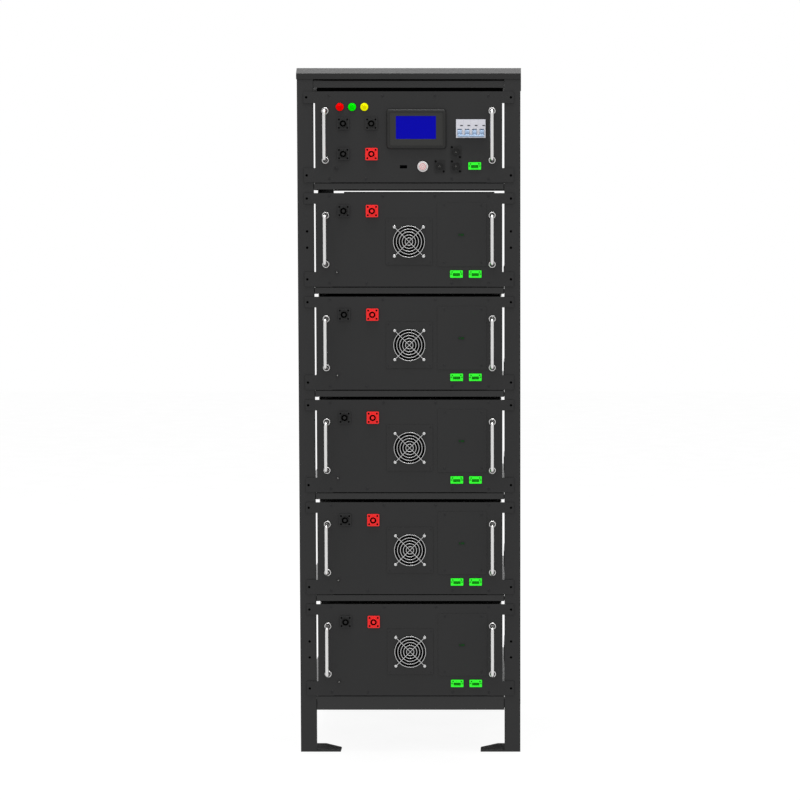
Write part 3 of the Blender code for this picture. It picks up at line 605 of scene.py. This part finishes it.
def fan_frame_mesh():
    """The square fan body behind the panel, with its motor mount on four struts."""
    shape = Shape()
    front, back = -0.4 * MM, -FAN_DEPTH
    square = boxed(FAN_HALF, FAN_HALF, 64)
    mouth, throat = circle(38.9 * MM, 64), circle(37.6 * MM, 64)
    shape.stack([(square, back), (square, front), (mouth, front), (throat, front - 4 * MM),
                 (throat, back + 4 * MM), (mouth, back)], "fan", closed=True)
    shape.lathe([(15.5 * MM, back), (15.5 * MM, back + 2.4 * MM)], "fan", count=32)
    for i in range(4):
        shape.matrix = Matrix.Rotation(math.radians(45 + 90 * i), 4, "Y")
        shape.box((15.0 * MM, back + 0.1 * MM, -1.6 * MM), (38.3 * MM, back + 2.2 * MM, 1.6 * MM), "fan")
    shape.matrix = Matrix.Identity(4)
    return shape.mesh("fan_frame")


def rotor_mesh():
    """Hub with seven swept, twisted blades; the origin is on the axle in the middle of its depth."""
    shape = Shape()
    hub = mm((13.2, -7.8), (14, -7.2), (14, 6.6), (13.0, 7.8), (9.5, 7.8), (9.1, 7.2))
    shape.lathe(hub, "fan", count=40)
    for blade in range(FAN_BLADES):
        loops = []
        for step in range(7):
            t = step / 6
            radius = (13.2 + 22.6 * t) * MM
            chord = (12 + 7.5 * t) * MM
            pitch = math.radians(50 - 17 * t)
            middle = 2 * math.pi * blade / FAN_BLADES + math.radians(20) * t
            section = []
            for u, thick in BLADE_SECTION:
                camber = 0.08 * chord * (1 - 4 * u * u) + thick * MM
                round_way = u * chord * math.cos(pitch) + camber * math.sin(pitch)
                out = -u * chord * math.sin(pitch) + camber * math.cos(pitch)
                angle = middle + round_way / radius
                section.append((radius * math.cos(angle), out, radius * math.sin(angle)))
            loops.append(section)
        shape.loft(loops, "fan")
    return shape.mesh("rotor")


def fan_guard_mesh():
    """Five wire rings welded to two crossed wires that end in loops under four screws."""
    shape = Shape()
    ring_out, cross_out, wire = 4.2 * MM, 2.5 * MM, 0.85 * MM
    for radius in GUARD_RADII:
        ring = [(x, ring_out, z) for x, z in circle(radius, 72)]
        shape.tube(ring, wire, "wire", (0, 1, 0), 10, closed=True)
    end = GUARD_SCREW - 2.4 * MM
    for side in (-1, 1):
        path = [(side * t * end, cross_out, t * end) for t in (-1, -0.5, 0, 0.5, 1)]
        shape.tube(path, wire, "wire", (0, 1, 0), 10)
        for sz in (-1, 1):
            x, z = side * GUARD_SCREW, sz * GUARD_SCREW
            loop = [(px, cross_out - 0.1 * MM, pz) for px, pz in circle(3.4 * MM, 28, x, z)]
            shape.tube(loop, wire * 0.9, "wire", (0, 1, 0), 10, closed=True)
            shape.lathe(mm((3.75, 2.9), (3.75, 4.0), (3.2, 4.9), (2.0, 5.4), (1.6, 5.4), (1.5, 4.0)), "wire",
                        x, z, 24)
            shape.lathe(mm((2.0, 1.05), (2.0, 2.95)), "nickel", x, z, 16)
    return shape.mesh("fan_guard")


def fan_plate_mesh():
    """The thin square plate that carries the guard."""
    shape = Shape()
    half = FAN_PLATE / 2
    shape.border(boxed(half, half, 64), circle(40.2 * MM, 64), SKIN, 1.0 * MM, "module")
    corners = (-FAN_PLATE_SCREW, FAN_PLATE_SCREW)
    shape.screws(corners, corners, 1.7 * MM, 0.4 * MM, "black_oxide", 1.02 * MM)
    return shape.mesh("fan_plate")


# ---------------------------------------------------------------- battery modules

def board_cover_mesh():
    """The thin plate over the monitoring board, and its four screws."""
    shape = Shape()
    x0, x1, z0, z1 = BOARD_COVER
    plate = rounded(x1 - x0, z1 - z0, 2 * MM, (x0 + x1) / 2, (z0 + z1) / 2)
    shape.prism(plate, SKIN, 0.8 * MM, "module")
    shape.screws(*BOARD_SCREWS, 2.6 * MM, 0.5 * MM, "black_oxide", 0.82 * MM)
    return shape.mesh("board_cover")


def status_window_mesh():
    """Two small green lenses in a shallow frame."""
    shape = Shape()
    shape.border(rounded(17 * MM, 9 * MM, 1.2 * MM), rounded(14.6 * MM, 6.8 * MM, 0.8 * MM),
                 0.82 * MM, 1.3 * MM, "module")
    shape.prism(rounded(14.4 * MM, 6.6 * MM, 0.8 * MM), 0.82 * MM, 0.95 * MM, "grey_black")
    shape.prism(rounded(8.2 * MM, 4.6 * MM, 0.8 * MM, 2.4 * MM, 0), 0.97 * MM, 1.4 * MM, "green_window")
    shape.prism(rounded(2.6 * MM, 5 * MM, 0.6 * MM, -5 * MM, 0), 0.97 * MM, 1.4 * MM, "green_window")
    return shape.mesh("status_window")


def earth_stud_mesh(bright):
    shape = Shape()
    nut = "dull_nickel" if bright else "black_oxide"
    shape.lathe(mm((4.4, 0.05), (4.4, 0.7), (4.1, 0.9)), "black_oxide", count=28)
    hexagon = circle(3.4 * MM, 6)
    shape.stack([(hexagon, 0.92 * MM), (hexagon, 3.0 * MM), (circle(3.1 * MM, 6), 3.3 * MM)], "black_oxide")
    shape.lathe(mm((1.6, 3.32), (1.6, 5.0), (1.2, 5.4)), nut, count=20)
    return shape.mesh("earth_stud")


def barrier_mesh(width, height):
    """The insulation board in front of the cells, with its row of push rivets; its black keeps the inside
    behind the fan dark, as painted shade.
    """
    shape = Shape()
    shape.prism(rounded(width, height, 6 * MM), -0.6 * MM, 0.6 * MM, "black")
    for i in range(5):
        x = (i - 2) * width * 0.22
        for z in (-1, 1):
            shape.screw(x, z * (height / 2 - 9 * MM), 3.2 * MM, 1.1 * MM, "black", 0.62 * MM)
    return shape.mesh("cell_barrier")


def build_modules():
    panel_low, panel_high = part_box("module_1_front_panel")
    grip, ferrules = handle_meshes("module_1_handle_left", panel_low.y)
    poles = {"negative": pole_mesh("module", "barrel", "grey_black"),
             "positive": pole_mesh("red", "red", "red")}
    tray_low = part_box("module_1_case_tray")[0]
    cover_low, cover_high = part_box("module_1_top_cover")
    case_screws = case_screws_mesh(cover_high.x, cover_high.y - cover_low.y, COVER_SCREWS_BELOW,
                                   cover_high.z - tray_low.z)
    port, screws = link_port_mesh(), panel_screws_mesh(panel_high.z - panel_low.z, *EDGE_SCREWS)
    plate, guard, fan_body, rotor = fan_plate_mesh(), fan_guard_mesh(), fan_frame_mesh(), rotor_mesh()
    pack_low, pack_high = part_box("module_1_cell_pack")
    barrier = barrier_mesh(pack_high.x - pack_low.x - 2 * MM, pack_high.z - pack_low.z - 4 * MM)
    board, window, stud = board_cover_mesh(), status_window_mesh(), earth_stud_mesh(True)

    for number in MODULES:
        body = f"module_{number}"
        panel_low, panel_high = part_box(body + "_front_panel")
        face, top = panel_low.y, panel_high.z
        corner = Vector((0, face, top))
        place_handles(body, body, face, grip, ferrules)
        for pole, mesh in poles.items():
            place(f"{body}_pole_{pole}", mesh, body, corner + Vector((POLE_X[pole], 0, -POLE_BELOW)),
                  "fan_plastic", bevel=0.5 * MM)
        for i, x in enumerate(LINK_PORT_X, 1):
            at = corner + Vector((x, 0, -LINK_PORT_BELOW))
            place(f"{body}_link_port_{i}", port, body, at, "lens_green", bevel=0.25 * MM)
        place(f"{body}_panel_screws", screws, body, corner, "electronics")
        low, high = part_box(f"{body}_fan_rotor")
        axle = (low + high) / 2
        fan_at = Vector((axle.x, face, axle.z))
        place(f"{body}_fan_plate", plate, body, fan_at, "module_paint", bevel=0.3 * MM)
        place(f"{body}_fan_guard", guard, body, fan_at, "handle_metal")
        place(f"{body}_fan_body", fan_body, body, fan_at - Vector((0, -PANEL_SHEET, 0)), "fan_plastic",
              bevel=0.4 * MM)
        place(f"{body}_fan_blades", rotor, body + "_fan", axle, "fan_plastic", [f"{body}_fan_rotor"])
        place(f"{body}_board_cover", board, body, corner, "module_paint", bevel=0.25 * MM)
        place(f"{body}_status_window", window, body, on_panel(corner, STATUS_WINDOW), "lens_green")
        place(f"{body}_earth_stud", stud, body, on_panel(corner, EARTH_STUD), "handle_metal")
        low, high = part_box(body + "_cell_pack")
        in_front = (0, low.y - BARRIER_GAP, (low.z + high.z) / 2)
        place(f"{body}_cell_barrier", barrier, body, in_front, "fan_plastic")
        cover_low, cover_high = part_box(body + "_top_cover")
        place(f"{body}_case_screws", case_screws, body, (0, cover_low.y, cover_high.z), "handle_metal")


# ---------------------------------------------------------------- control box

def build_display(face):
    low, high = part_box("display_unit")
    width, height = high.x - low.x, high.z - low.z
    middle = middle_of("display_unit", face)
    depth = high.y - face
    shape = Shape()
    window = rounded(SCREEN[0] + 1 * MM, SCREEN[1] + 1 * MM, 1 * MM, *SCREEN_SHIFT)
    rim = [(rounded(width - 2 * inset, height - 2 * inset, 7 * MM - inset), out)
           for inset, out in ((0, 1.2 * MM), (0, 3.6 * MM), (1.6 * MM, 5.4 * MM), (3.4 * MM, 6.0 * MM),
                              (7.0 * MM, 6.0 * MM))]
    mouth = rounded(width - 14 * MM, height - 14 * MM, 3 * MM)
    shape.stack([(mouth, 1.2 * MM)] + rim + [(mouth, 5.2 * MM)], "bezel", closed=True)
    mask = rounded(width - 14.1 * MM, height - 14.1 * MM, 3 * MM)
    shape.border(mask, window, 1.2 * MM, 5.3 * MM, "bezel_inner")
    place("display_bezel", shape.mesh("display_bezel"), "control_box", middle, "display_plastic",
          ["display_unit"], bevel=0.2 * MM)
    shape = Shape()
    glass = rounded(SCREEN[0] + 0.9 * MM, SCREEN[1] + 0.9 * MM, 1 * MM, *SCREEN_SHIFT)
    shape.prism(glass, 1.3 * MM, 4.6 * MM, "screen")
    place("display_screen", shape.mesh("display_screen"), "control_box", middle, "breaker_blue")
    shape = Shape()
    # This black rim round the display paints the shadow gap at its edge.
    shape.prism(rounded(width + 1.6 * MM, height + 1.6 * MM, 7.5 * MM), SKIN, 1.15 * MM, "gasket_and_shade")
    place("display_gasket_and_shade", shape.mesh("display_gasket_and_shade"), "control_box", middle, "electronics")
    shape = Shape()
    shape.prism(rounded(128 * MM, 80 * MM, 3 * MM), -depth + 6 * MM, -0.1 * MM, "bezel")
    shape.prism(rounded(112 * MM, 66 * MM, 3 * MM), -depth, -depth + 5.9 * MM, "bezel")
    for i in range(9):                  # ribs on its back
        x = (i - 4) * 11 * MM
        shape.box((x - 2 * MM, -depth - 0.8 * MM, -24 * MM),
                  (x + 2 * MM, -depth - 0.05 * MM, 24 * MM), "bezel")
    place("display_housing", shape.mesh("display_housing"), "control_box", middle, "display_plastic",
          bevel=0.4 * MM)


def build_lamps(face):
    for colour in LAMPS:
        node = "lamp_" + colour
        low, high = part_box(node)
        radius = (high.x - low.x) / 2
        shape = Shape()
        lens, core = "lens_" + colour, "core_" + colour
        profile = [(radius - 0.4 * MM, 0.9 * MM), (radius - 0.4 * MM, 2.6 * MM)]
        for i in range(5):
            reach = radius - 0.7 * MM - i * 1.0 * MM
            rise = (3.3 + 0.28 * i) * MM
            profile += [(reach, rise), (reach - 0.45 * MM, rise + 0.22 * MM),
                        (reach - 0.7 * MM, rise - 0.05 * MM)]
        shape.lathe(profile, lens, count=40)
        tip = profile[-1]
        shape.lathe([(tip[0] - 0.05 * MM, tip[1] + 0.02 * MM), (tip[0] - 0.5 * MM, tip[1] + 0.5 * MM),
                     (tip[0] * 0.4, tip[1] + 0.7 * MM)], core, count=32)
        # The black ring at the lens's foot paints the shadow gap round it.
        shape.lathe([(radius, SKIN), (radius, 0.85 * MM), (radius - 0.3 * MM, 0.88 * MM)], "gasket_and_shade",
                    count=40)
        shape.lathe(mm((7, -24), (7, 0.0)), "black", count=24)
        shape.stack([(circle(10.5 * MM, 6), -6.5 * MM), (circle(10.5 * MM, 6), -2.4 * MM)], "black")
        place("indicator_" + colour, shape.mesh("indicator_" + colour), "control_box",
              middle_of(node, face), lens, [node])


def build_button(face):
    low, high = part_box("power_button")
    middle = middle_of("power_button", face)
    radius = (high.x - low.x) / 2
    proud = face - low.y
    depth = high.y - face
    shape = Shape()
    shape.lathe([(5 * MM, -depth), (5 * MM, proud - 3.2 * MM)], "black", count=24)
    shape.lathe([(radius - 0.3 * MM, proud - 3.1 * MM), (radius, proud - 2.8 * MM),
                 (radius, proud - 0.7 * MM), (radius - 0.6 * MM, proud - 0.12 * MM),
                 (radius - 2.4 * MM, proud)], "button", count=48)
    shape.lathe([(7.6 * MM, proud - 0.1 * MM), (7.6 * MM, proud + 0.08 * MM), (6.0 * MM, proud + 0.08 * MM),
                 (6.0 * MM, proud - 0.1 * MM)], "button_ring", count=48, closed=True)
    arc = [(3.4 * MM * math.sin(a), proud, 3.4 * MM * math.cos(a))
           for a in (math.radians(40 + 280 * i / 24) for i in range(25))]
    shape.tube(arc, 0.6 * MM, "button_ring", (0, 1, 0), 8)
    bar = [(0, proud, 0.6 * MM), (0, proud, 2.4 * MM), (0, proud, 4.2 * MM)]
    shape.tube(bar, 0.6 * MM, "button_ring", (0, 1, 0), 8)
    place("power_button_cap", shape.mesh("power_button_cap"), "power_button", middle, "button_white",
          ["power_button"])
    shape = Shape()
    shape.lathe(mm((13, 0.05), (13, 1.6), (12.4, 2.6), (11.0, 3.2), (10.1, 3.0), (9.9, 2.4), (9.9, 0.05)),
                "button", count=48, closed=True)
    # The black ring round the button paints its shadow gap.
    shape.lathe(mm((13.8, 0.05), (13.8, 0.9), (13.1, 0.9), (13.1, 0.05)), "gasket_and_shade", count=48, closed=True)
    place("power_button_ring", shape.mesh("power_button_ring"), "control_box", middle, "button_white")


def build_breaker(face):
    """Status marks and pole joints on the breaker's nose."""
    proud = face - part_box("main_breaker")[0].y
    shape = Shape()
    for i in range(4):
        mark = rounded(6.5 * MM, 2.6 * MM, 0.5 * MM, (i - 1.5) * BREAKER_POLE + 4.4 * MM, 7.4 * MM)
        shape.prism(mark, proud + 0.02 * MM, proud + 0.2 * MM, "breaker_mark")
    for i in range(3):
        x = (i - 1) * BREAKER_POLE
        for z0, z1 in mm((3.0, 22.3), (-22.3, -19.5)):
            shape.box((x - 0.2 * MM, proud + 0.01 * MM, z0), (x + 0.2 * MM, proud + 0.06 * MM, z1),
                      "breaker_shade")
    place("breaker_markings", shape.mesh("breaker_markings"), "control_box",
          middle_of("main_breaker", face), "breaker_white")


def round_port_mesh():
    """A round latching socket on a small oblong flange, with two screws at opposite corners."""
    shape = Shape()
    outline = rounded(26 * MM, 31 * MM, 3 * MM, steps=11)
    shape.border(outline, circle(10.9 * MM, 48), SKIN, 1.3 * MM, "grey_black")
    shape.lathe(mm((10.85, -14), (10.85, 2.0), (10.3, 2.4), (9.4, 2.4), (9.0, 2.0), (9.0, -14)),
                "grey_black", count=48, closed=True)
    shape.lathe(mm((8.95, -14), (8.95, 0.4), (8.3, 0.9)), "grey_black", count=40)
    shape.lathe(mm((4.6, 0.92), (4.6, 2.2), (3.6, 2.2), (3.6, 0.92)), "black", count=32, closed=True)
    for i in range(3):
        angle = math.radians(90 + 120 * i)
        shape.lathe(mm((0.8, 0.92), (0.8, 1.8)), "dull_nickel", 2.0 * MM * math.cos(angle),
                    2.0 * MM * math.sin(angle), 10)
    for side in (-1, 1):
        shape.screw(side * 9.8 * MM, -side * 12 * MM, 2.6 * MM, 0.6 * MM, "black_and_shade", 1.32 * MM, socket=0.5)
    return shape.mesh("round_port")


def data_port_mesh():
    """A dark oblong socket behind the panel, with a contact tongue; its back and tongue are near-black,
    painted shade inside the opening.
    """
    shape = Shape()
    shape.border(rounded(21 * MM, 11 * MM, 0.8 * MM), rounded(17.6 * MM, 7.6 * MM, 0.5 * MM), -16 * MM,
                 -PANEL_SHEET - 0.1 * MM, "black")
    shape.box((-10.4 * MM, -17.5 * MM, -5.4 * MM), (10.4 * MM, -16.05 * MM, 5.4 * MM), "black_and_shade")
    shape.box((-6.5 * MM, -16.0 * MM, -0.7 * MM), (6.5 * MM, -4.5 * MM, 0.9 * MM), "black_and_shade")
    return shape.mesh("data_port")


def cable_entry_mesh():
    """The edge frame round the cable opening in the case's back; out is measured towards the rear."""
    shape = Shape()
    shape.matrix = Matrix.Rotation(math.pi, 4, "Z")
    width, height = CABLE_ENTRY[1:]
    outer = rounded(width + 14 * MM, height + 14 * MM, 6 * MM)
    shape.border(outer, rounded(width - 3 * MM, height - 3 * MM, 3 * MM), SKIN, 2 * MM, "black")
    across, up = width / 2 + 3 * MM, height / 2 + 3 * MM
    shape.screws((-across, across), (-up, up), 2.2 * MM, 1.2 * MM, "nickel", 2.02 * MM)
    return shape.mesh("cable_entry_frame")


def build_control_box():
    panel_low, panel_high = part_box("control_front_panel")
    face, top = panel_low.y, panel_high.z
    corner = Vector((0, face, top))
    place_handles("control_box", "control", face, *handle_meshes("control_handle_left", face))
    meshes = {"black": pole_mesh("module", "barrel", "grey_black"),
              "red": pole_mesh("red", "red", "red")}
    for name, colour, x, z in CONTROL_POLES:
        place("pole_" + name, meshes[colour], "control_box", on_panel(corner, (x, z)), "fan_plastic",
              bevel=0.5 * MM)
    port = round_port_mesh()
    for i, at in enumerate(ROUND_PORTS, 1):
        place(f"round_port_{i}", port, "control_box", on_panel(corner, at), "fan_plastic", bevel=0.2 * MM)
    place("control_link_port", link_port_mesh(), "control_box", on_panel(corner, CONTROL_LINK_PORT),
          "lens_green", bevel=0.25 * MM)
    place("data_port", data_port_mesh(), "control_box", on_panel(corner, DATA_PORT), "electronics",
          bevel=0.2 * MM)
    place("control_earth_stud", earth_stud_mesh(False), "control_box", on_panel(corner, CONTROL_EARTH),
          "electronics")
    screws = panel_screws_mesh(panel_high.z - panel_low.z, *CONTROL_EDGE_SCREWS)
    place("control_panel_screws", screws, "control_box", corner, "electronics")
    case_low, case_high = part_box("control_case")
    screws = case_screws_mesh(case_high.x, case_high.y - case_low.y, COVER_SCREWS_BELOW,
                              case_high.z - case_low.z)
    place("control_case_screws", screws, "control_box", (0, case_low.y, case_high.z), "handle_metal")
    place("cable_entry_frame", cable_entry_mesh(), "control_box",
          (CABLE_ENTRY[0], case_high.y, (case_low.z + case_high.z) / 2), "electronics", bevel=0.3 * MM)
    build_display(face)
    build_lamps(face)
    build_button(face)
    build_breaker(face)


# ---------------------------------------------------------------- rack details

def weld_bead(shape, start, end, across):
    """A slightly uneven bead between two (x, out, z) points."""
    points = [Vector(start).lerp(Vector(end), i / WELD_STEPS) for i in range(WELD_STEPS + 1)]
    radii = [WELD_RADIUS * (1 + 0.12 * math.sin(i * 2.1)) for i in range(WELD_STEPS + 1)]
    shape.tube(points, radii, "rack", across, 10)


def build_foot_welds():
    """Weld beads along the outer side and the end of each post, where it stands on its foot."""
    for end, inwards in (("front", 1), ("rear", -1)):
        for side, sign in zip(SIDES, (-1, 1)):
            low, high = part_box(f"rack_post_{end}_{side}")
            outer = high.x if sign > 0 else low.x
            inner = outer - sign * POST_WIDTH
            edge = low.y if end == "front" else high.y
            y0, y1 = edge + inwards * 2.2 * MM, edge + inwards * 48 * MM
            x = outer - sign * 2.2 * MM
            shape = Shape()
            weld_bead(shape, (x, -y0, FOOT_PLATE), (x, -y1, FOOT_PLATE), (1, 0, 0))
            weld_bead(shape, (inner + sign * 3 * MM, -y0, FOOT_PLATE),
                      (outer - sign * 5 * MM, -y0, FOOT_PLATE), (0, 1, 0))
            name = f"foot_weld_{end}_{side}"
            place(name, shape.mesh(name), "rack", (0, 0, 0), "rack_paint")


def build_shelf_joints():
    """A near-black block of painted shade in the seam, and a small gusset, where each shelf frame's front
    channel meets the posts.
    """
    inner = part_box("rack_post_front_right")[1].x - POST_WIDTH
    for number in SHELVES:
        low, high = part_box(f"shelf_frame_{number}")
        channel = LOWEST_CHANNEL if number == SHELVES[-1] else SHELF_CHANNEL
        lift = min(high.z, low.z + channel)
        half = (lift - low.z) / 2
        shape = Shape()
        for side in (-1, 1):
            seam = boxed(0.8 * MM, half, 12, side * (inner - 0.9 * MM), 0.0)
            shape.prism(seam, -2.6 * MM, 0.35 * MM, "black_and_shade")
            gusset = boxed(5.8 * MM, half - 0.2 * MM, 12, side * (inner - 5.4 * MM), 0.0)
            shape.prism(gusset, -4.8 * MM, -2.8 * MM, "rack")
        name = f"shelf_joint_{number}"
        place(name, shape.mesh(name), "rack", (0, low.y, (lift + low.z) / 2), "rack_paint")


def build_top_seal_and_shade():
    """A black rubber strip under the top frame's front channel, over the control box; its near-black also
    paints the shade in the gap there.
    """
    frame_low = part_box("rack_top_frame")[0]
    case_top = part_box("control_case")[1].z
    front, upper = frame_low.y + SEAL_BEHIND, frame_low.z - 0.1 * MM
    section = [(front, upper), (front + 11 * MM, upper), (front + 9 * MM, case_top + 2 * MM),
               (front + 6 * MM, case_top + 1.2 * MM), (front + 2 * MM, case_top + 1.2 * MM)]
    shape = Shape()
    shape.loft([[(x, -y, z) for y, z in section] for x in SEAL_ENDS], "black_and_shade")
    place("top_seal_and_shade", shape.mesh("top_seal_and_shade"), "rack", (0, 0, 0), "rack_paint", bevel=0.4 * MM)


def build_post_nuts():
    """Blind rivet nuts behind the front posts' screw holes, near-black so that the holes read dark as
    painted shade.
    """
    heights = [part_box("control_front_panel")[1].z - below for below in CONTROL_POST_HOLES_BELOW]
    for number in MODULES:
        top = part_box(f"module_{number}_front_panel")[1].z
        spare = SPARE_HOLES_BELOW if number in (MODULES[0], MODULES[-1]) else ()
        heights += [top - below for below in EAR_HOLES_BELOW + spare]
    for side, sign in zip(SIDES, (-1, 1)):
        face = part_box("rack_post_front_" + side)[0].y
        shape = Shape()
        for z in heights:
            shape.lathe(mm((4.2, -11), (4.6, -10.4), (4.6, -2.1), (2.9, -2.1), (2.9, -9)), "black_and_shade", 0, z, 14)
        name = "post_nuts_" + side
        place(name, shape.mesh(name), "rack", (sign * POST_HOLE_X, face, 0), "rack_paint")


# ---------------------------------------------------------------- studio

def build_studio():
    """The photograph's camera, a white surround with one soft light above, and the floor."""
    camera = bpy.data.cameras.new("camera")
    camera.lens = LENS
    camera.sensor_width = SENSOR
    camera.shift_x = LENS_SHIFT
    camera.clip_end = 100
    view = bpy.data.objects.new("camera", camera)
    view.location = (CAMERA_X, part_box("rack_post_front_left")[0].y - CAMERA_DISTANCE, CAMERA_HEIGHT)
    view.rotation_euler = (CAMERA_TILT, 0, 0)
    bpy.context.scene.collection.objects.link(view)
    bpy.context.scene.camera = view

    world = bpy.data.worlds.new("studio")
    world.use_nodes = True
    world.node_tree.nodes["Background"].inputs["Color"].default_value = (1, 1, 1, 1)
    world.node_tree.nodes["Background"].inputs["Strength"].default_value = 1.0
    bpy.context.scene.world = world
    bpy.context.scene.view_settings.view_transform = "Standard"

    light = bpy.data.lights.new("overhead", "AREA")
    light.shape = "RECTANGLE"
    light.size = LIGHT_SIZE
    light.size_y = LIGHT_SIZE
    light.energy = LIGHT_POWER
    lamp = bpy.data.objects.new("overhead", light)
    lamp.location = LIGHT_PLACE
    bpy.context.scene.collection.objects.link(lamp)

    # The floor is dark and glows evenly, so it looks pale and takes hardly any shadow.
    shape = bmesh.new()
    bmesh.ops.create_grid(shape, x_segments=2, y_segments=2, size=FLOOR_HALF)
    mesh = bpy.data.meshes.new("floor")
    shape.to_mesh(mesh)
    shape.free()
    floor_paint = finish("pale_floor", (0.06, 0.06, 0.06), 0.8, specular=0.0, tint=0.01, grain=300.0,
                         bump=0.02, glow=FLOOR_GLOW)
    mesh.materials.append(floor_paint)
    floor = bpy.data.objects.new("floor", mesh)
    floor.location = (0, 0, -FLOOR_GAP)
    bpy.context.scene.collection.objects.link(floor)


dress_cad()
build_foot_welds()
build_post_nuts()
build_top_seal_and_shade()
build_shelf_joints()
build_control_box()
build_modules()
build_studio()
